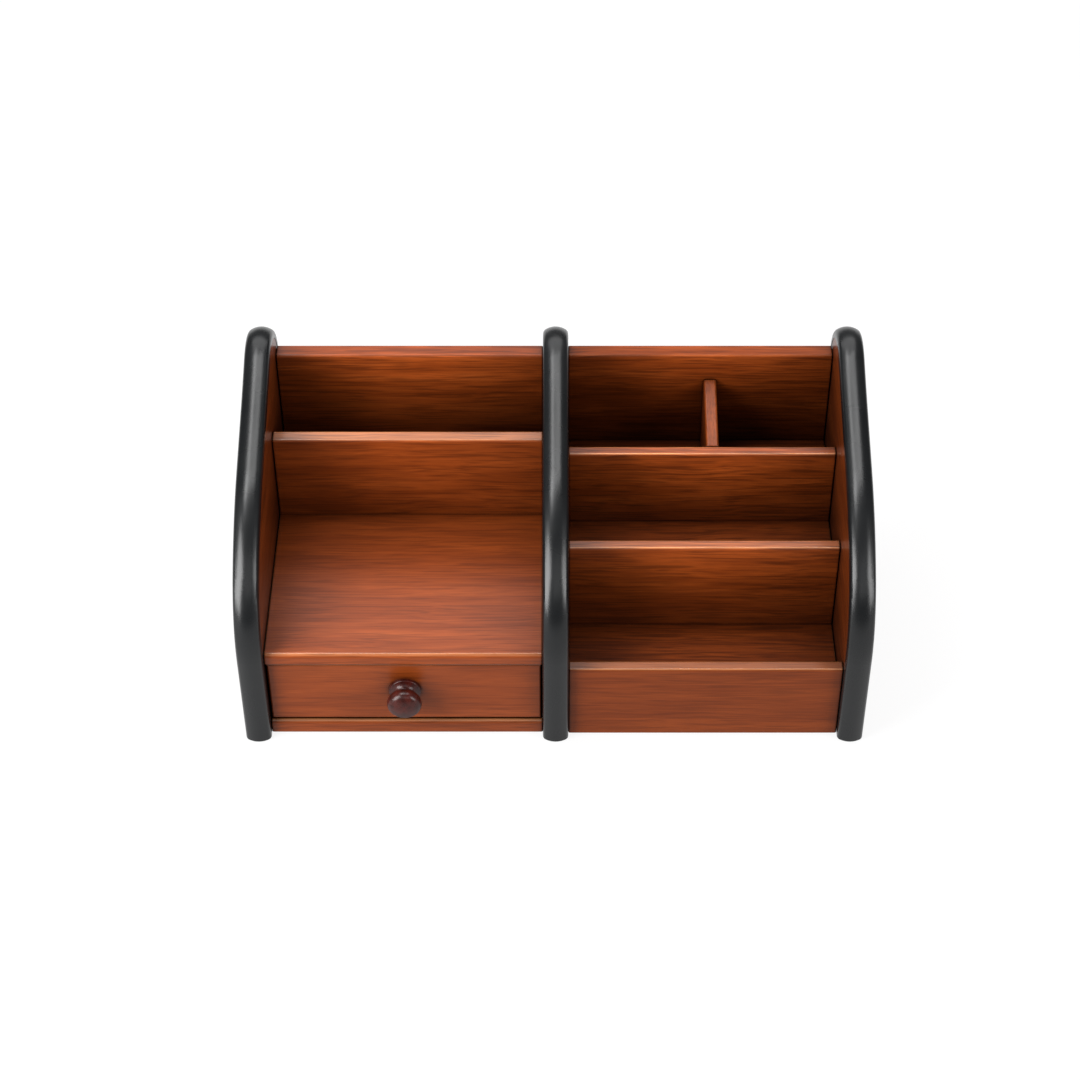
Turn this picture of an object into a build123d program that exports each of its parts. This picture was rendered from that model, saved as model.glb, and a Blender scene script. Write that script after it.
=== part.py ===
from build123d import *
from math import atan2, degrees, sqrt
import os

# Desktop organizer in wood: two bays between three black-edged uprights,
# with a drawer under the left bay and stepped compartments in the right bay.
# Millimetres. X runs to the right, Y to the back, Z up. While the pieces are built,
# Y is 0 at the front edge of the upright panels and Z is 0 on the desk.

# Uprights
overall_width = 330.0
upright_thickness = 13.6
centre_upright_x = 0.7
panel_relief = 0.2

# Side outline of the upright panels, from the bottom of the front edge to the back
front_rise = 60.7
nose_radius = 54.5
nose_turn = 46.4
shoulder_radius = 124.0
shoulder_turn = 25.75
slope_length = 40.0
scoop_radius = 430.0
scoop_turn = 3.65
crest_length = 2.7
back_corner_radius = 24.0

# Black edge moulding
moulding_projection = 6.1
moulding_side = 3.5
moulding_corner_radius = 3.0
moulding_tongue_width = 2.4
moulding_tongue_depth = 5.0
moulding_gap = 0.1
moulding_foot_radius = 1.0

# Fits between fixed wooden pieces
housing_depth = 2.5
tongue_shoulder = 1.5
shoulder_gap = 0.2
fit_gap = 0.1
breakout = 1.0
edge_ease = 1.3
end_ease = 0.8
nose_ease = 2.6

# Heights of the boards above the desk
desk_gap = 0.5
front_setback = 0.3
base_thickness = 9.5
shelf_top = 60.7
shelf_thickness = 7.5

# Back panels
back_inset = 1.9
back_thickness = 9.3
back_top = 136.6

# Divider behind the shelf
left_divider_y = 107.3
left_divider_thickness = 7.8
left_divider_top = 115.2

# Right bay
front_panel_thickness = 6.6
front_panel_top = 49.9
floor_thickness = 6.0
front_floor_top = 28.7
middle_floor_top = 59.5
rear_floor_top = 75.3
divider_thickness = 6.5
front_divider_y = 54.2
front_divider_top = 86.2
rear_divider_y = 103.1
rear_divider_top = 109.0

# Short divider for pens in the rear right compartment
pen_divider_x = 85.2
pen_divider_thickness = 6.8
pen_divider_back_top = 120.4
pen_tongue_drop = 4.0

# Drawer
drawer_setback = 1.5
drawer_side_gap = 0.8
drawer_box_gap = 1.2
drawer_run_gap = 0.3
drawer_front_low_gap = 1.0
drawer_front_top_gap = 0.8
drawer_front_thickness = 8.0
drawer_wall = 6.0
drawer_side_drop = 6.4
drawer_back_drop = 2.0
drawer_bottom_thickness = 3.0
drawer_bottom_lift = 3.0
drawer_groove_depth = 2.5
drawer_rebate_depth = 3.0

# Knob and its screw
knob_lift = 1.6
flange_radius = 8.4
flange_edge = 1.7
flange_round = 0.6
neck_radius = 4.9
cove_spread = 0.5
ball_radius = 9.15
ball_edge_radius = 4.4
ball_centre = 9.8
knob_projection = 15.5
screw_radius = 1.9
screw_head_radius = 3.7
screw_head_height = 2.2
screw_length = 18.0
screw_gap = 0.15
recess_width = 0.9
recess_length = 4.0
recess_depth = 1.1
washer_radius = 5.0
washer_thickness = 0.8

# Brads at the drawer corners
brad_radius = 0.6
brad_head_radius = 1.1
brad_head_height = 0.6
brad_length = 14.0
brad_sink = 0.2
brad_gap = 0.1
brad_inset = 7.0

half_width = overall_width / 2
panel_thickness = upright_thickness - 2 * panel_relief
side_upright_x = half_width - upright_thickness / 2
upright_centres = {
    "left": -side_upright_x,
    "centre": centre_upright_x,
    "right": side_upright_x,
}
base_top = desk_gap + base_thickness
standing = (Align.CENTER, Align.CENTER, Align.MIN)


def block(x, y, z):
    """Box between two values along each axis."""
    centre = Pos((x[0] + x[1]) / 2, (y[0] + y[1]) / 2, (z[0] + z[1]) / 2)
    return centre * Box(x[1] - x[0], y[1] - y[0], z[1] - z[0])


def grown(span, gap):
    """The same span with a gap added at both ends."""
    return (span[0] - gap, span[1] + gap)


def eased_top(board):
    """Round the long edges on top of a board that runs left to right."""
    top_edges = board.edges().filter_by(Axis.X).group_by(Axis.Z)[-1]
    return fillet(top_edges, edge_ease)


def eased_nose(board):
    """Round the front edges of a board that lies flat, more on top than below."""
    front = board.edges().filter_by(Axis.X).group_by(Axis.Y)[0].sort_by(Axis.Z)
    board = fillet(front[-1], nose_ease)
    low = board.edges().filter_by(Axis.X).group_by(Axis.Z)[0].sort_by(Axis.Y)
    return fillet(low[0], edge_ease)


def eased_ends(board):
    """Soften the edges all round both ends of a board that runs left to right."""
    ends = board.faces().filter_by(Axis.X)
    return fillet([edge for face in ends for edge in face.edges()], end_ease)


def along_y(shape, x, y, z):
    """Turn a shape made about Z so that its axis runs forward, from the point given."""
    return Pos(x, y, z) * Rot(X=90) * shape


def along_x(shape, x, y, z, direction):
    """Turn a shape made about Z so that its axis runs along X, from the point given."""
    return Pos(x, y, z) * Rot(Y=90 * direction) * shape


# Side outline of a panel, drawn with depth across and height up
rise = Line((0, 0), (0, front_rise))
nose = JernArc(rise @ 1, rise % 1, nose_radius, -nose_turn)
shoulder = JernArc(nose @ 1, nose % 1, shoulder_radius, -shoulder_turn)
slope = Line(shoulder @ 1, shoulder @ 1 + slope_length * (shoulder % 1))
scoop = JernArc(slope @ 1, slope % 1, scoop_radius, scoop_turn)
crest = Line(scoop @ 1, scoop @ 1 + crest_length * (scoop % 1))
corner_turn = 180 - nose_turn - shoulder_turn + scoop_turn
corner = JernArc(crest @ 1, crest % 1, back_corner_radius, -corner_turn)
panel_depth = (corner @ 1).X
drop = Line(corner @ 1, (panel_depth, 0))
edge_line = Wire([rise, nose, shoulder, slope, scoop, crest, corner, drop])
foot_line = Line((panel_depth, 0), (0, 0))
panel_face = make_face(edge_line.edges() + [foot_line])
footprint_centre = panel_depth / 2
back_rear_y = panel_depth - back_inset
back_front_y = back_rear_y - back_thickness


def bay_between(left, right):
    """Clear width between the faces of two upright panels."""
    low = upright_centres[left] + panel_thickness / 2
    high = upright_centres[right] - panel_thickness / 2
    return (low, high)


left_bay = bay_between("left", "centre")
right_bay = bay_between("centre", "right")

# Where each board between the uprights stands: its span in Y, then in Z
board_rear = back_front_y - fit_gap
shelf_underside = shelf_top - shelf_thickness
front_panel_rear = front_setback + front_panel_thickness
front_divider_rear = front_divider_y + divider_thickness
rear_divider_rear = rear_divider_y + divider_thickness

left_layout = {
    "left_base_board": ((front_setback, board_rear), (desk_gap, base_top)),
    "drawer_shelf": ((front_setback, board_rear), (shelf_underside, shelf_top)),
    "left_divider": (
        (left_divider_y, left_divider_y + left_divider_thickness),
        (shelf_top + fit_gap, left_divider_top),
    ),
    "left_back_panel": ((back_front_y, back_rear_y), (desk_gap, back_top)),
}
right_layout = {
    "right_front_panel": ((front_setback, front_panel_rear), (desk_gap, front_panel_top)),
    "right_base_board": (
        (front_panel_rear + fit_gap, board_rear),
        (desk_gap, base_top),
    ),
    "front_floor": (
        (front_panel_rear + fit_gap, front_divider_y - fit_gap),
        (front_floor_top - floor_thickness, front_floor_top),
    ),
    "front_divider": (
        (front_divider_y, front_divider_rear),
        (base_top + fit_gap, front_divider_top),
    ),
    "middle_floor": (
        (front_divider_rear + fit_gap, rear_divider_y - fit_gap),
        (middle_floor_top - floor_thickness, middle_floor_top),
    ),
    "rear_divider": (
        (rear_divider_y, rear_divider_rear),
        (base_top + fit_gap, rear_divider_top),
    ),
    "rear_floor": (
        (rear_divider_rear + fit_gap, board_rear),
        (rear_floor_top - floor_thickness, rear_floor_top),
    ),
    "right_back_panel": ((back_front_y, back_rear_y), (desk_gap, back_top)),
}


def tongue(bay, spans):
    """The thinner core of a board, long enough to seat in the uprights at both ends."""
    y, z = (grown(span, -tongue_shoulder) for span in spans)
    return grown(bay, housing_depth - fit_gap), y, z


def housing(bay, spans):
    """Stopped groove in the uprights for the tongues of one board."""
    x, y, z = (grown(span, fit_gap) for span in tongue(bay, spans))
    return block(x, y, z)


left_housings = [housing(left_bay, spans) for spans in left_layout.values()]
right_housings = [housing(right_bay, spans) for spans in right_layout.values()]


def moulding_section(width, tongue_depth, gap, nosed):
    """Cross-section of the edge moulding, or of the groove for its tongue."""
    tongue = Pos(0, (tongue_depth - gap) / 2) * Rectangle(width, tongue_depth + gap)
    if not nosed:
        return tongue
    half = upright_thickness / 2
    side_end = -gap - moulding_side
    base = Polyline((-half, side_end), (-half, -gap), (half, -gap), (half, side_end))
    bow = ThreePointArc(base @ 1, (0, -gap - moulding_projection), base @ 0)
    head = make_face(base.edges() + [bow])
    head = fillet(head.vertices().group_by(Axis.Y)[0], moulding_corner_radius)
    return head + tongue


def upright_panel(x, housings):
    """One veneered panel with its housings and the groove for the moulding's tongue."""
    low = x - panel_thickness / 2
    panel = extrude(Plane.YZ.offset(low) * panel_face, panel_thickness)
    groove = moulding_section(
        moulding_tongue_width + 2 * moulding_gap,
        moulding_tongue_depth + moulding_gap,
        moulding_gap,
        nosed=False,
    )
    path = Plane.YZ.offset(x) * edge_line
    panel -= sweep(Pos(x, 0, 0) * groove, path=path)
    for cut in housings:
        panel -= cut
    return panel


def edge_moulding(x):
    """Bowed moulding along the front, top and back edges of one upright."""
    section = moulding_section(
        moulding_tongue_width, moulding_tongue_depth, moulding_gap, nosed=True
    )
    path = Plane.YZ.offset(x) * edge_line
    moulding = sweep(Pos(x, 0, 0) * section, path=path)
    foot_edges = moulding.edges().group_by(Axis.Z)[0]
    middle = moulding.center().Y
    reach = panel_depth / 2 + moulding_gap
    rims = [edge for edge in foot_edges if abs(edge.center().Y - middle) > reach]
    return fillet(rims, moulding_foot_radius)


def bay_board(bay, spans, shaped=None):
    """Board between two uprights, its shoulders just clear of them and its tongues in them."""
    board = block(grown(bay, -shoulder_gap), spans[0], spans[1])
    if shaped:
        board = shaped(board)
    return eased_ends(board) + block(*tongue(bay, spans))


# Pen divider, between the rear divider and the right back panel
pen_x = (
    pen_divider_x - pen_divider_thickness / 2,
    pen_divider_x + pen_divider_thickness / 2,
)
pen_y = (rear_divider_rear, back_front_y)
pen_tongue_y = grown(pen_y, housing_depth - fit_gap)
pen_tongue_x = grown(pen_x, -tongue_shoulder)
pen_floor = rear_floor_top + fit_gap
pen_tongue_z = (pen_floor + tongue_shoulder, rear_divider_top - pen_tongue_drop)


def pen_divider():
    """Upright board from front to back, its top rising towards the back panel."""
    front_y, rear_y = grown(pen_y, -shoulder_gap)
    side = Polyline(
        (front_y, pen_floor),
        (rear_y, pen_floor),
        (rear_y, pen_divider_back_top),
        (front_y, rear_divider_top),
        close=True,
    )
    board = extrude(Plane.YZ.offset(pen_x[0]) * make_face(side), pen_divider_thickness)
    top = board.faces().sort_by(Axis.Z)[-1]
    long_edges = [edge for edge in top.edges() if edge.length > pen_divider_thickness]
    board = fillet(long_edges, edge_ease)
    ends = board.faces().filter_by(Axis.Y)
    board = fillet([edge for face in ends for edge in face.edges()], end_ease)
    return board + block(pen_tongue_x, pen_tongue_y, pen_tongue_z)


# Drawer, closed
drawer_front_x = grown(left_bay, -drawer_side_gap)
drawer_box_x = grown(left_bay, -drawer_box_gap)
drawer_inner_x = grown(drawer_box_x, -drawer_wall)
drawer_front_y = (drawer_setback, drawer_setback + drawer_front_thickness)
drawer_rear = back_front_y - drawer_run_gap
drawer_back_y = (drawer_rear - drawer_wall, drawer_rear)
drawer_side_y = (drawer_front_y[1] - drawer_rebate_depth + fit_gap, drawer_rear)
drawer_front_z = (
    base_top + drawer_front_low_gap,
    shelf_underside - drawer_front_top_gap,
)
drawer_side_z = (base_top + drawer_run_gap, drawer_front_z[1] - drawer_side_drop)
drawer_bottom_low = drawer_side_z[0] + drawer_bottom_lift
drawer_bottom_z = (drawer_bottom_low, drawer_bottom_low + drawer_bottom_thickness)
drawer_bottom_x = grown(drawer_inner_x, drawer_groove_depth - fit_gap)
drawer_bottom_y = (drawer_front_y[1] - drawer_groove_depth + fit_gap, drawer_rear)
drawer_back_z = (drawer_bottom_z[1] + fit_gap, drawer_side_z[1] - drawer_back_drop)
knob_x = (left_bay[0] + left_bay[1]) / 2
knob_z = (drawer_front_z[0] + drawer_front_z[1]) / 2 + knob_lift
brad_heights = (drawer_bottom_z[1] + brad_inset, drawer_side_z[1] - brad_inset)
brad_depths = (
    drawer_front_y[1] - drawer_rebate_depth / 2,
    (drawer_back_y[0] + drawer_back_y[1]) / 2,
)


def brad():
    """One brad along Z, its head just under Z = 0 and its shank going up."""
    head = Cylinder(brad_head_radius, brad_head_height, align=standing)
    shank = Cylinder(brad_radius, brad_length, align=standing)
    return Pos(0, 0, brad_sink) * (head + shank)


def brad_hole():
    """The stepped hole that a brad and its sunk head take."""
    counterbore = Cylinder(
        brad_head_radius + brad_gap, brad_sink + brad_head_height + brad_gap, align=standing
    )
    shaft = Cylinder(brad_radius + brad_gap, brad_sink + brad_length + brad_gap, align=standing)
    return counterbore + shaft


def at_brads(shape):
    """Copies of a shape wherever a brad goes through a side into the front or the back."""
    placed = []
    for side, direction in ((0, 1), (1, -1)):
        for y in brad_depths:
            for z in brad_heights:
                placed.append(along_x(shape, drawer_box_x[side], y, z, direction))
    return placed


def bore(radius, depth):
    """Cutter along Z for a hole right through a piece that reaches up from Z = 0."""
    return Pos(0, 0, -breakout) * Cylinder(radius, depth + 2 * breakout, align=standing)


def bottom_groove():
    """Space taken by the drawer bottom in the pieces around it."""
    return block(
        grown(drawer_bottom_x, fit_gap),
        (drawer_bottom_y[0] - fit_gap, drawer_rear + breakout),
        grown(drawer_bottom_z, fit_gap),
    )


def drawer_front():
    """Drawer front with rebates for the sides, a groove and the hole for the knob's screw."""
    front = block(drawer_front_x, drawer_front_y, drawer_front_z)
    face_edges = front.faces().sort_by(Axis.Y)[0].edges()
    front = fillet(face_edges, edge_ease)
    rebate_y = (drawer_front_y[1] - drawer_rebate_depth, drawer_front_y[1] + breakout)
    rebate_z = grown(drawer_front_z, breakout)
    left_x = (drawer_front_x[0] - breakout, drawer_inner_x[0] + fit_gap)
    right_x = (drawer_inner_x[1] - fit_gap, drawer_front_x[1] + breakout)
    front -= block(left_x, rebate_y, rebate_z)
    front -= block(right_x, rebate_y, rebate_z)
    front -= bottom_groove()
    screw_hole = bore(screw_radius + screw_gap, drawer_front_thickness)
    front -= along_y(screw_hole, knob_x, drawer_front_y[1], knob_z)
    for hole in at_brads(brad_hole()):
        front -= hole
    return front


def drawer_side(side):
    """Left (0) or right (1) side of the drawer, grooved for the bottom."""
    outer = drawer_box_x[side]
    inner = drawer_inner_x[side]
    board = block((min(outer, inner), max(outer, inner)), drawer_side_y, drawer_side_z)
    board = fillet(board.edges().filter_by(Axis.Y).group_by(Axis.Z)[-1], edge_ease)
    board -= bottom_groove()
    for hole in at_brads(brad_hole()):
        board -= hole
    return board


def drawer_back():
    """Back of the drawer, between the sides and on the bottom."""
    board = block(grown(drawer_inner_x, -fit_gap), drawer_back_y, drawer_back_z)
    board = eased_top(board)
    for hole in at_brads(brad_hole()):
        board -= hole
    return board


def drawer_bottom():
    """Thin plywood bottom in the grooves."""
    return block(drawer_bottom_x, drawer_bottom_y, drawer_bottom_z)


def drawer_knob():
    """Turned knob: flange on the drawer front, hollowed neck and flattened ball."""
    round_centre = ball_radius - ball_edge_radius
    cap_drop = knob_projection - ball_centre
    cap_radius = (round_centre**2 + cap_drop**2 - ball_edge_radius**2) / (
        2 * (cap_drop - ball_edge_radius)
    )
    cap_turn = degrees(atan2(round_centre, cap_radius - cap_drop))
    cap = JernArc((0, knob_projection), (1, 0), cap_radius, -cap_turn)
    neck_reach = ball_edge_radius**2 - (neck_radius - round_centre) ** 2
    neck_end = (neck_radius, ball_centre - sqrt(neck_reach))
    ball = ThreePointArc(cap @ 1, (ball_radius, ball_centre), neck_end)
    round_side = Line((flange_radius, 0), (flange_radius, flange_edge - flange_round))
    rounding = JernArc(round_side @ 1, (0, 1), flange_round, 90)
    cove_waist = (neck_radius + cove_spread, (flange_edge + neck_end[1]) / 2)
    cove = ThreePointArc(rounding @ 1, cove_waist, neck_end)
    hole_radius = screw_radius + screw_gap
    hole_end = screw_length - washer_thickness - drawer_front_thickness + screw_gap
    hole = Polyline(cap @ 0, (0, hole_end), (hole_radius, hole_end), (hole_radius, 0))
    outline = [cap, ball, cove, rounding, round_side, Line(hole @ 1, round_side @ 0), hole]
    knob = revolve(Plane.XZ * make_face(outline), Axis.Z)
    return along_y(knob, knob_x, drawer_front_y[0], knob_z)


def knob_screw():
    """Pan-head screw from inside the drawer, with a cross recess."""
    hanging = (Align.CENTER, Align.CENTER, Align.MAX)
    head = Cylinder(screw_head_radius, screw_head_height, align=hanging)
    head = fillet(head.faces().sort_by(Axis.Z)[0].edges(), screw_head_height / 2)
    screw = head + Cylinder(screw_radius, screw_length, align=standing)
    floor = -screw_head_height
    for length, width in ((recess_length, recess_width), (recess_width, recess_length)):
        screw -= Pos(0, 0, floor) * Box(length, width, 2 * recess_depth)
    seat = drawer_front_y[1] + washer_thickness
    return along_y(screw, knob_x, seat, knob_z)


def knob_washer():
    """Washer between the screw head and the drawer front."""
    ring = Cylinder(washer_radius, washer_thickness, align=standing)
    ring -= bore(screw_radius + screw_gap, washer_thickness)
    return along_y(ring, knob_x, drawer_front_y[1] + washer_thickness, knob_z)


nodes = {
    "left_side_panel": upright_panel(upright_centres["left"], left_housings),
    "centre_panel": upright_panel(upright_centres["centre"], left_housings + right_housings),
    "right_side_panel": upright_panel(upright_centres["right"], right_housings),
}
for place, x in upright_centres.items():
    nodes[place + "_edge_moulding"] = edge_moulding(x)

for bay, layout in ((left_bay, left_layout), (right_bay, right_layout)):
    for node, spans in layout.items():
        if node in ("left_base_board", "drawer_shelf"):
            nodes[node] = bay_board(bay, spans, eased_nose)
        elif node.endswith(("_divider", "_panel")):
            nodes[node] = bay_board(bay, spans, eased_top)
        else:
            nodes[node] = bay_board(bay, spans)

nodes["pen_divider"] = pen_divider()
pen_housing = block(*(grown(span, fit_gap) for span in (pen_tongue_x, pen_tongue_y, pen_tongue_z)))
for node in ("rear_divider", "right_back_panel"):
    nodes[node] -= pen_housing

nodes["drawer_front"] = drawer_front()
nodes["drawer_left_side"] = drawer_side(0)
nodes["drawer_right_side"] = drawer_side(1)
nodes["drawer_back"] = drawer_back()
nodes["drawer_bottom"] = drawer_bottom()
nodes["drawer_brads"] = at_brads(brad())
nodes["drawer_knob"] = drawer_knob()
nodes["knob_screw"] = knob_screw()
nodes["knob_washer"] = knob_washer()

# The origin is at the centre of the footprint, on the desk
to_origin = Pos(0, -footprint_centre, 0)
os.makedirs("parts", exist_ok=True)
for node, shape in nodes.items():
    if isinstance(shape, list):
        placed = Compound([to_origin * piece for piece in shape])
    else:
        placed = to_origin * shape
    export_step(placed, "parts/" + node + ".step")
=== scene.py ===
from collections import namedtuple
from math import pi, radians

import bmesh
import bpy
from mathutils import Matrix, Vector

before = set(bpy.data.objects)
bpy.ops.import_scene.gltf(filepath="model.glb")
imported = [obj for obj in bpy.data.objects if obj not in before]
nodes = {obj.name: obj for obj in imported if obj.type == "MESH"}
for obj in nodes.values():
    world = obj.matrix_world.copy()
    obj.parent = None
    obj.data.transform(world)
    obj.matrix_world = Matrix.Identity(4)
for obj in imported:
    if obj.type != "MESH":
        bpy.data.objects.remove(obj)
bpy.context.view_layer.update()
scene = bpy.context.scene

# Camera, placed where the photograph was taken from: metres, degrees, millimetres
camera_place = (0.0, -0.9571, 0.9899)
camera_tilt = 46.0
camera_lens = 81.762
camera_shift = -0.01324

# Studio: place, width and height in metres and power in watts of each soft light
soft_lights = {
    "left_front_box": ((-0.73, -0.51, 0.52), 0.48, 0.76, 17.0),
    "right_front_box": ((0.96, -0.60, 0.60), 0.42, 0.72, 9.8),
    "overhead_strip": ((-0.05, 0.17, 1.55), 1.50, 0.30, 12.5),
    "overhead_left_box": ((-0.45, 0.22, 1.50), 0.70, 0.28, 5.5),
    "overhead_back_box": ((-0.05, 1.15, 1.50), 1.90, 1.15, 17.0),
    "front_fill": ((0.20, -1.30, 1.30), 1.30, 0.90, 4.5),
}
organizer_middle = (0.0, 0.0, 0.07)
world_strength = 0.18

# Pale floor, lit through from below like a light table
floor_size = 30.0
floor_grey = 0.08
floor_glow = 0.87
floor_roughness = 0.9


def grey(value):
    """One grey as a colour."""
    return (value, value, value, 1.0)


def toned(colour, tone):
    """A stain made lighter or darker."""
    return tuple(part * tone for part in colour) + (1.0,)


# The middle part of its range, which noise mostly keeps to
noise_span = (0.3, 0.7)


class Graph:
    """Short calls for adding and joining the nodes of one material."""

    def __init__(self, tree):
        self.tree = tree

    def add(self, kind, **settings):
        """One new node."""
        node = self.tree.nodes.new(kind)
        for name, value in settings.items():
            setattr(node, name, value)
        return node

    def join(self, source, target):
        """A link from an output to an input."""
        self.tree.links.new(source, target)

    def put(self, socket, value):
        """A link or a value on one input."""
        if isinstance(value, bpy.types.NodeSocket):
            self.join(value, socket)
        elif value is not None:
            socket.default_value = value

    def math(self, operation, a, b=None):
        """The sum, product or other result of one or two values."""
        node = self.add("ShaderNodeMath", operation=operation)
        self.put(node.inputs[0], a)
        self.put(node.inputs[1], b)
        return node.outputs[0]

    def noise(self, place, detail, roughness):
        """Soft noise, one unit across."""
        node = self.add("ShaderNodeTexNoise")
        self.join(place, node.inputs["Vector"])
        node.inputs["Scale"].default_value = 1.0
        node.inputs["Detail"].default_value = detail
        node.inputs["Roughness"].default_value = roughness
        return node.outputs["Fac"]

    def stretch(self, place, scale, location=(0, 0, 0), rotation=(0, 0, 0)):
        """Coordinates that are scaled, turned and moved."""
        node = self.add("ShaderNodeMapping")
        self.join(place, node.inputs["Vector"])
        node.inputs["Scale"].default_value = scale
        node.inputs["Location"].default_value = location
        node.inputs["Rotation"].default_value = rotation
        return node.outputs["Vector"]

    def ramp(self, factor, stops):
        """A colour that changes with a value."""
        node = self.add("ShaderNodeValToRGB")
        self.join(factor, node.inputs["Fac"])
        elements = node.color_ramp.elements
        while len(elements) < len(stops):
            elements.new(0.5)
        for element, (position, colour) in zip(elements, stops):
            element.position = position
            element.color = colour
        return node.outputs["Color"]

    def span(self, value, low, high, to_low=0.0, to_high=1.0):
        """A value moved from one span to another, and kept inside it."""
        node = self.add("ShaderNodeMapRange")
        self.join(value, node.inputs["Value"])
        node.inputs["From Min"].default_value = low
        node.inputs["From Max"].default_value = high
        node.inputs["To Min"].default_value = to_low
        node.inputs["To Max"].default_value = to_high
        return node.outputs["Result"]

    def follow(self, noise, to_low, to_high):
        """A value that follows noise, from its low parts to its high parts."""
        return self.span(noise, *noise_span, to_low, to_high)

    def blend(self, factor, a, b, kind="MIX"):
        """Two colours mixed."""
        node = self.add("ShaderNodeMix", data_type="RGBA", blend_type=kind)
        self.put(node.inputs["Factor"], factor)
        self.put(node.inputs["A"], a)
        self.put(node.inputs["B"], b)
        return node.outputs["Result"]

    def tint(self, colour, by):
        """One colour multiplied by another colour or by a shade."""
        return self.blend(1.0, colour, by, "MULTIPLY")

    def cloud(self, fineness, detail, roughness):
        """Noise that is alike in all directions of the piece."""
        place = self.add("ShaderNodeTexCoord").outputs["Object"]
        return self.noise(self.stretch(place, (fineness,) * 3), detail, roughness)


def new_finish(name, **sockets):
    """A material with one shader, whose plain values are set here."""
    finish = bpy.data.materials.new(name)
    finish.use_nodes = True
    shader = finish.node_tree.nodes["Principled BSDF"]
    for socket, value in sockets.items():
        shader.inputs[socket.replace("_", " ")].default_value = value
    return finish, Graph(finish.node_tree), shader


def add_relief(graph, shader, height, depth, strength):
    """Fine relief of the surface."""
    bump = graph.add("ShaderNodeBump")
    bump.inputs["Distance"].default_value = depth
    bump.inputs["Strength"].default_value = strength
    graph.join(height, bump.inputs["Height"])
    graph.join(bump.outputs["Normal"], shader.inputs["Normal"])


def give(node, finish):
    """One finish over a whole CAD node."""
    mesh = nodes[node].data
    mesh.materials.clear()
    mesh.materials.append(finish)


# Turn that lays each direction of the grain along X
grain_turns = {
    "x": (0.0, 0.0, 0.0),
    "y": (0.0, 0.0, -pi / 2),
}

# How far the grain sways to either side, how fine the sway is along and across it, and the
# detail and roughness of its noise
sway_reach = 0.002
sway_fineness = (16, 45, 45)
sway_noise = (1.0, 0.5)

# Streaks of the figure: fineness along and across the grain, detail and roughness
streaks = {
    "bands": (7, 90, 2.0, 0.5),
    "ribbons": (18, 260, 2.0, 0.55),
    "lines": (30, 1050, 1.0, 0.6),
    "fibres": (70, 2300, 1.0, 0.5),
}


def grain(graph, along, offset):
    """Coordinates of a wood whose grain runs along one axis, with a slight sway."""
    place = graph.add("ShaderNodeTexCoord").outputs["Object"]
    fibre = graph.stretch(place, (1, 1, 1), offset, grain_turns[along])
    drift = graph.noise(graph.stretch(fibre, sway_fineness), *sway_noise)
    sway = graph.span(drift, 0.0, 1.0, -sway_reach, sway_reach)
    push = graph.add("ShaderNodeCombineXYZ")
    graph.join(sway, push.inputs["Y"])
    graph.join(sway, push.inputs["Z"])
    swayed = graph.add("ShaderNodeVectorMath", operation="ADD")
    graph.join(fibre, swayed.inputs[0])
    graph.join(push.outputs["Vector"], swayed.inputs[1])
    return swayed.outputs["Vector"]


def streak(graph, wood, kind):
    """One kind of streak in the figure of a wood."""
    length, width, detail, roughness = streaks[kind]
    return graph.noise(graph.stretch(wood, (length, width, width)), detail, roughness)


# Painted shade: how far around a spot other boards darken it, and with how many samples that is
# measured: in a pocket, and in the seam between two boards
pocket_reach, pocket_samples = 0.06, 12
seam_reach, seam_samples = 0.002, 8

# Spans of a face's direction over which it counts as an upper face, as a rounded arris, whose
# normal lies along no axis, and as an outer face of an upright
upper_turn = (0.5, 0.85)
arris_turn = (0.997, 0.95)
outer_turn = (0.5, 0.9)


def nearness(graph, reach, samples):
    """1 in the open, and lower where something stands within reach."""
    shade = graph.add("ShaderNodeAmbientOcclusion", samples=samples)
    shade.inputs["Distance"].default_value = reach
    return shade.outputs["AO"]


def corner_shade(graph, strength):
    """Painted shade where the boards meet, 1 in the open and lower deep in a pocket."""
    pocket = graph.math("POWER", nearness(graph, pocket_reach, pocket_samples), strength)
    return graph.math("MULTIPLY", pocket, nearness(graph, seam_reach, seam_samples))


def face_turn(graph):
    """Which way the surface faces on the piece, as X, Y and Z."""
    turn = graph.add("ShaderNodeSeparateXYZ")
    graph.join(graph.add("ShaderNodeTexCoord").outputs["Normal"], turn.inputs[0])
    return turn.outputs


def coat_and_painted_highlight_mask(graph, turn, top_polish, arris_polish):
    """Mask of the painted highlight on the upper arrises and on the whole upper face of a board,
    which is also where the clear coat goes.
    """
    x, y, z = (graph.math("ABSOLUTE", turn[axis]) for axis in "XYZ")
    flat = graph.math("MAXIMUM", graph.math("MAXIMUM", x, y), z)
    upper = graph.span(turn["Z"], *upper_turn)
    arris = graph.math("MULTIPLY", graph.span(flat, *arris_turn, 0.0, arris_polish), upper)
    return graph.math("MAXIMUM", arris, graph.math("MULTIPLY", upper, top_polish))


# Veneer: stain from the darkest to the lightest figure, and of the thin dark streaks
veneer_stain = (
    (0.34, (0.098, 0.0165, 0.0024)),
    (0.46, (0.190, 0.0340, 0.0045)),
    (0.55, (0.260, 0.0500, 0.0075)),
    (0.68, (0.330, 0.0740, 0.0130)),
)
dark_streak_stain = (0.040, 0.0075, 0.0016)

# Veneer: reflection, roughness from the dark to the light figure, roughness of the clear coat on
# the upper arrises and faces, and depth and strength of the relief, in which the ribbons stand out
# by their share
veneer_sheen = 0.22
veneer_roughness = (0.36, 0.30)
coat_roughness = 0.14
veneer_relief = (0.00005, 0.3)
ribbon_relief = 0.5

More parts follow.
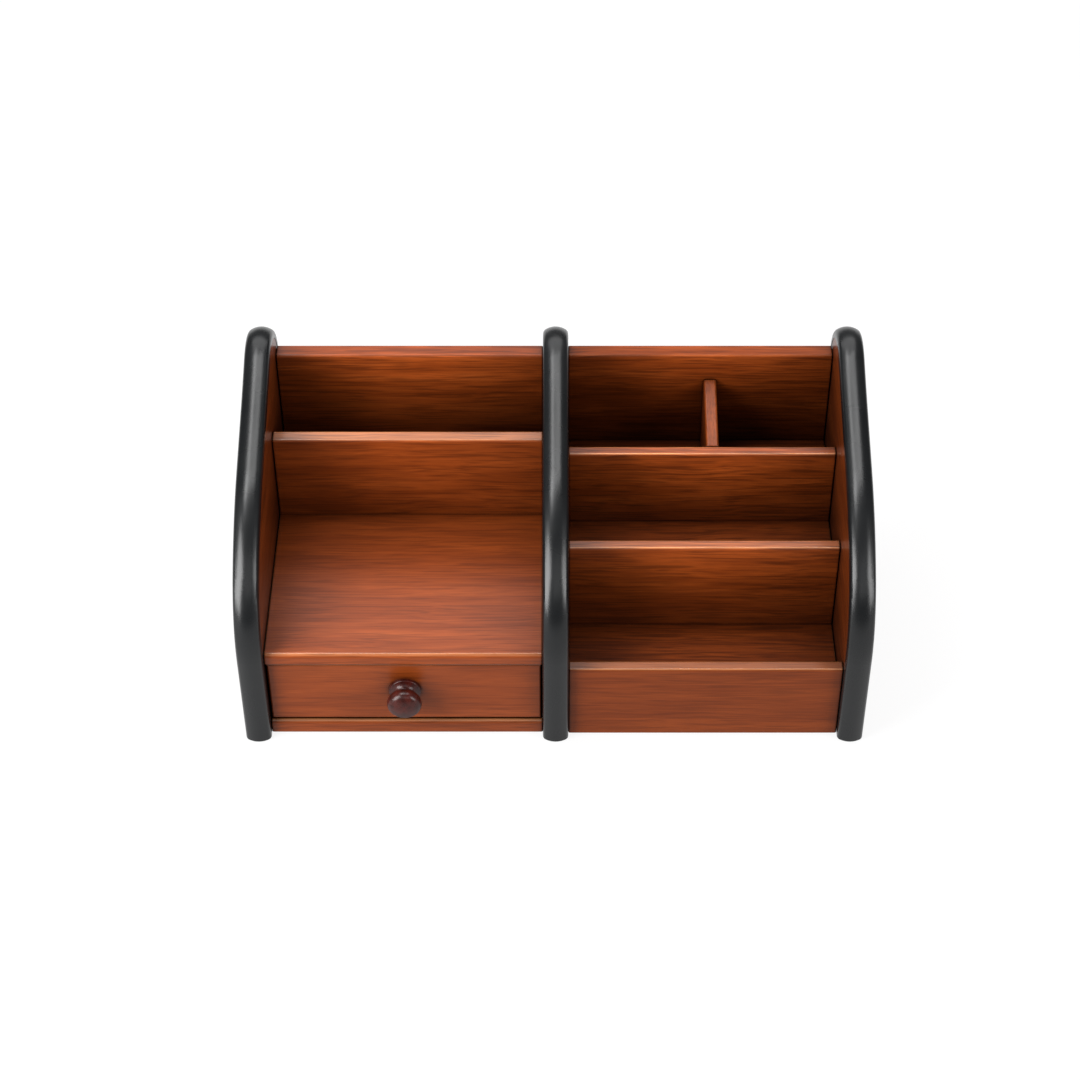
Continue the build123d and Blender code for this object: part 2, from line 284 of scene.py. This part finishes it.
# Veneer: shares of the broad streaks in the figure, and how dark the thin ones are and over which
# part of their noise they fade
band_share = 0.30
ribbon_share = 0.35
dark_line_depth, dark_line_span = 0.66, (0.38, 0.54)
fibre_line_depth, fibre_line_span = 0.34, (0.36, 0.56)

# How much lighter the stain is painted where the upper arrises and faces carry a painted
# highlight, and on an outer face, which is kept out of the uprights' painted shade
painted_highlight_tint = (2.05, 4.0, 9.0, 1.0)
outer_face_tint = (1.5, 1.5, 1.5, 1.0)

# Uprights with one face in the open, and whether it faces -X or +X
outer_faces = {"left_side_panel": -1.0, "right_side_panel": 1.0}

# Each veneered board: direction of the grain, tone and contrast of the figure, painted highlight
# and clear coat on its upper face and on its upper arrises, strength of the painted shade in the
# corners, and sheen. The tones set each board's brightness under the light, so they hold painted
# light and shade besides the wood's own colour: lowest on the uprights, painted shade on their
# inner faces, and on the fronts; highest on the dividers and back panels, painted light.
Board = namedtuple(
    "Board",
    "along tone contrast top_polish arris_polish corner_stain sheen",
    defaults=(veneer_sheen,),
)
boards = {
    "left_side_panel": Board("y", 0.55, 0.8, 0.0, 1.0, 1.0),
    "centre_panel": Board("y", 0.55, 0.8, 0.0, 1.0, 1.0),
    "right_side_panel": Board("y", 0.45, 0.8, 0.0, 1.0, 1.0),
    "left_base_board": Board("x", 0.80, 0.6, 0.0, 1.0, 1.0, 0.17),
    "drawer_shelf": Board("x", 0.92, 0.6, 0.0, 0.5, 0.5),
    "left_divider": Board("x", 1.15, 0.8, 0.5, 0.65, 0.68),
    "left_back_panel": Board("x", 1.32, 0.9, 0.0, 0.05, 1.0),
    "right_front_panel": Board("x", 0.70, 0.5, 0.28, 1.0, 1.0, 0.12),
    "right_base_board": Board("x", 1.0, 0.8, 0.0, 1.0, 1.0),
    "front_floor": Board("x", 1.0, 1.0, 0.0, 1.0, 1.0),
    "front_divider": Board("x", 1.30, 0.9, 0.20, 1.0, 1.0),
    "middle_floor": Board("x", 1.15, 1.0, 0.0, 1.0, 1.0),
    "rear_divider": Board("x", 1.75, 1.0, 0.07, 1.0, 1.1),
    "rear_floor": Board("x", 1.0, 1.0, 0.0, 1.0, 1.0),
    "right_back_panel": Board("x", 1.13, 0.9, 0.0, 0.10, 1.1, 0.11),
    "pen_divider": Board("y", 0.85, 0.6, 0.0, 0.07, 0.8),
    "drawer_front": Board("x", 0.83, 0.5, 0.0, 1.0, 1.0, 0.17),
}

# Plain boards of the drawer, with the direction of their grain
drawer_boards = {
    "drawer_left_side": "y",
    "drawer_right_side": "y",
    "drawer_back": "x",
    "drawer_bottom": "x",
}
plain_stops = (
    (0.30, (0.30, 0.175, 0.085, 1.0)),
    (0.50, (0.42, 0.272, 0.145, 1.0)),
    (0.70, (0.52, 0.365, 0.210, 1.0)),
)
plain_sheen = 0.3
plain_roughness = (0.62, 0.74)
plain_relief = (0.0001, 0.4)
# Strength of the painted shade in the corners of the drawer
plain_painted_shade_strength = 0.6

# How far apart in the wood one board is cut from the next
veneer_step = (0.37, 0.113, 0.071)
plain_step = (0.41, 0.07, 0.05)


def cut_place(step, number):
    """Where in the wood a board is cut, so that no two boards look alike."""
    return tuple(part * number for part in step)


def veneer(node, board, offset):
    """Satin red-brown wood veneer, with thin dark lines along the grain, a clear coat and a
    painted highlight on the upper arrises, and painted shade in the corners.
    """
    finish, graph, shader = new_finish(
        node + "_veneer", Specular_IOR_Level=board.sheen, Coat_Roughness=coat_roughness
    )
    wood = grain(graph, board.along, offset)
    bands = graph.math("MULTIPLY", streak(graph, wood, "bands"), band_share * board.contrast)
    ribbons = streak(graph, wood, "ribbons")
    total = graph.math(
        "ADD", bands, graph.math("MULTIPLY", ribbons, ribbon_share * board.contrast)
    )
    mean = (band_share + ribbon_share) / 2
    figure = graph.math("ADD", total, 0.5 - mean * board.contrast)
    stops = [(position, toned(stain, board.tone)) for position, stain in veneer_stain]
    colour = graph.ramp(figure, stops)

    lines = streak(graph, wood, "lines")
    fibres = streak(graph, wood, "fibres")
    dark_line = graph.span(lines, *dark_line_span, dark_line_depth * board.contrast, 0.0)
    fibre_line = graph.span(fibres, *fibre_line_span, fibre_line_depth * board.contrast, 0.0)
    figure_line = graph.math("MAXIMUM", dark_line, fibre_line)
    colour = graph.blend(figure_line, colour, toned(dark_streak_stain, board.tone))

    turn = face_turn(graph)
    # The uprights' low tone is painted shade on their inner faces; an outer face is made lighter
    # again
    if node in outer_faces:
        outward = graph.math("MULTIPLY", turn["X"], outer_faces[node])
        lighter = graph.tint(colour, outer_face_tint)
        colour = graph.blend(graph.span(outward, *outer_turn), colour, lighter)
    coat_and_painted_highlight = coat_and_painted_highlight_mask(graph, turn, board.top_polish, board.arris_polish)
    # Painted highlight: the upper arrises and faces are made lighter in colour
    colour = graph.blend(coat_and_painted_highlight, colour, graph.tint(colour, painted_highlight_tint))
    # Painted shade in the pockets, corners and seams, from how near other boards stand
    colour = graph.tint(colour, corner_shade(graph, board.corner_stain))

    graph.join(colour, shader.inputs["Base Color"])
    graph.join(coat_and_painted_highlight, shader.inputs["Coat Weight"])
    graph.join(graph.follow(figure, *veneer_roughness), shader.inputs["Roughness"])
    raised = graph.math("MULTIPLY", ribbons, ribbon_relief)
    add_relief(graph, shader, graph.math("SUBTRACT", raised, figure_line), *veneer_relief)
    return finish


def plain_wood(node, along, offset):
    """Pale unfinished wood inside the drawer."""
    finish, graph, shader = new_finish(node + "_wood", Specular_IOR_Level=plain_sheen)
    wood = grain(graph, along, offset)
    half_bands = graph.math("MULTIPLY", streak(graph, wood, "bands"), 0.5)
    lines = streak(graph, wood, "lines")
    figure = graph.math("ADD", half_bands, graph.math("MULTIPLY", lines, 0.5))
    colour = graph.ramp(figure, plain_stops)
    # Painted shade in the corners of the drawer
    colour = graph.tint(colour, corner_shade(graph, plain_painted_shade_strength))
    graph.join(colour, shader.inputs["Base Color"])
    fibres = streak(graph, wood, "fibres")
    graph.join(graph.follow(fibres, *plain_roughness), shader.inputs["Roughness"])
    add_relief(graph, shader, lines, *plain_relief)
    return finish


# Black moulding: fineness, detail and roughness of its two noises, and its looks
black_cloud = (30, 3.0, 0.5)
black_dust = (900, 2.0, 0.6)
black_stops = (
    (0.3, (0.003, 0.0035, 0.004, 1.0)),
    (0.7, (0.005, 0.0055, 0.006, 1.0)),
)
black_sheen = 0.34
black_roughness = (0.25, 0.30)
black_relief = (0.00002, 0.3)


def black_edge():
    """Satin black moulding with a faint uneven sheen."""
    finish, graph, shader = new_finish("black_edge", Specular_IOR_Level=black_sheen)
    cloud = graph.cloud(*black_cloud)
    graph.join(graph.ramp(cloud, black_stops), shader.inputs["Base Color"])
    graph.join(graph.follow(cloud, *black_roughness), shader.inputs["Roughness"])
    add_relief(graph, shader, graph.cloud(*black_dust), *black_relief)
    return finish


# Knob: where in the wood it is cut, its looks, and how much duller it gets as its surface turns
# down through a span of the normal's Z
knob_cut = (0.2, 0.1, 0.3)
mahogany_stops = (
    (0.35, (0.020, 0.0028, 0.0018, 1.0)),
    (0.65, (0.042, 0.0056, 0.0034, 1.0)),
)
knob_sheen = 0.27
knob_roughness = (0.26, 0.31)
underside_turn = (0.15, -0.45)
underside_dullness = 0.40


def knob_lacquer():
    """Satin dark mahogany lacquer over turned wood, duller on the underside of the knob."""
    finish, graph, shader = new_finish("knob_lacquer", Specular_IOR_Level=knob_sheen)
    wood = grain(graph, "y", knob_cut)
    colour = graph.ramp(streak(graph, wood, "ribbons"), mahogany_stops)
    graph.join(colour, shader.inputs["Base Color"])
    gloss = graph.follow(streak(graph, wood, "fibres"), *knob_roughness)
    dullness = graph.span(face_turn(graph)["Z"], *underside_turn, 0.0, underside_dullness)
    graph.join(graph.math("ADD", gloss, dullness), shader.inputs["Roughness"])
    return finish


# Fasteners: fineness, detail and roughness of the noise on the zinc, and its looks
zinc_cloud = (700, 3.0, 0.6)
zinc_stops = (
    (0.3, (0.50, 0.51, 0.53, 1.0)),
    (0.7, (0.66, 0.67, 0.68, 1.0)),
)
zinc_roughness = (0.26, 0.38)


def zinc_plate():
    """Bright zinc-plated steel of the fasteners."""
    finish, graph, shader = new_finish("zinc_plate", Metallic=1.0)
    cloud = graph.cloud(*zinc_cloud)
    graph.join(graph.ramp(cloud, zinc_stops), shader.inputs["Base Color"])
    graph.join(graph.follow(cloud, *zinc_roughness), shader.inputs["Roughness"])
    return finish


def finish_pieces():
    """Every CAD node gets its finish."""
    for number, (node, board) in enumerate(boards.items()):
        give(node, veneer(node, board, cut_place(veneer_step, number)))
    for number, (node, along) in enumerate(drawer_boards.items()):
        give(node, plain_wood(node, along, cut_place(plain_step, number)))
    black = black_edge()
    for side in ("left", "centre", "right"):
        give(side + "_edge_moulding", black)
    give("drawer_knob", knob_lacquer())
    zinc = zinc_plate()
    for node in ("knob_screw", "knob_washer", "drawer_brads"):
        give(node, zinc)


def studio_floor():
    """Pale floor under the feet of the uprights."""
    mesh = bpy.data.meshes.new("floor")
    shape = bmesh.new()
    bmesh.ops.create_grid(shape, x_segments=1, y_segments=1, size=floor_size / 2)
    shape.to_mesh(mesh)
    shape.free()
    floor = bpy.data.objects.new("floor", mesh)
    scene.collection.objects.link(floor)
    finish, _, _ = new_finish(
        "pale_floor",
        Base_Color=grey(floor_grey),
        Roughness=floor_roughness,
        Emission_Color=grey(1.0),
        Emission_Strength=floor_glow,
    )
    mesh.materials.append(finish)
    floor.visible_shadow = False


def soft_light(name, place, width, height, power):
    """One rectangular softbox that faces the middle of the organizer."""
    lamp = bpy.data.lights.new(name, "AREA")
    lamp.shape = "RECTANGLE"
    lamp.size = width
    lamp.size_y = height
    lamp.energy = power
    box = bpy.data.objects.new(name, lamp)
    box.location = place
    towards = Vector(organizer_middle) - Vector(place)
    box.rotation_euler = towards.to_track_quat("-Z", "Y").to_euler()
    scene.collection.objects.link(box)


def surroundings():
    """Even dim light from all round."""
    world = bpy.data.worlds.new("studio")
    world.use_nodes = True
    background = world.node_tree.nodes["Background"]
    background.inputs["Color"].default_value = grey(1.0)
    background.inputs["Strength"].default_value = world_strength
    scene.world = world


def photo_camera():
    """The camera at the photograph's place and angle."""
    view = bpy.data.cameras.new("photo_camera")
    view.lens = camera_lens
    view.shift_x = camera_shift
    camera = bpy.data.objects.new("photo_camera", view)
    camera.location = camera_place
    camera.rotation_euler = (radians(camera_tilt), 0.0, 0.0)
    scene.collection.objects.link(camera)
    scene.camera = camera


finish_pieces()
studio_floor()
for name, settings in soft_lights.items():
    soft_light(name, *settings)
surroundings()
photo_camera()
scene.view_settings.view_transform = "Standard"
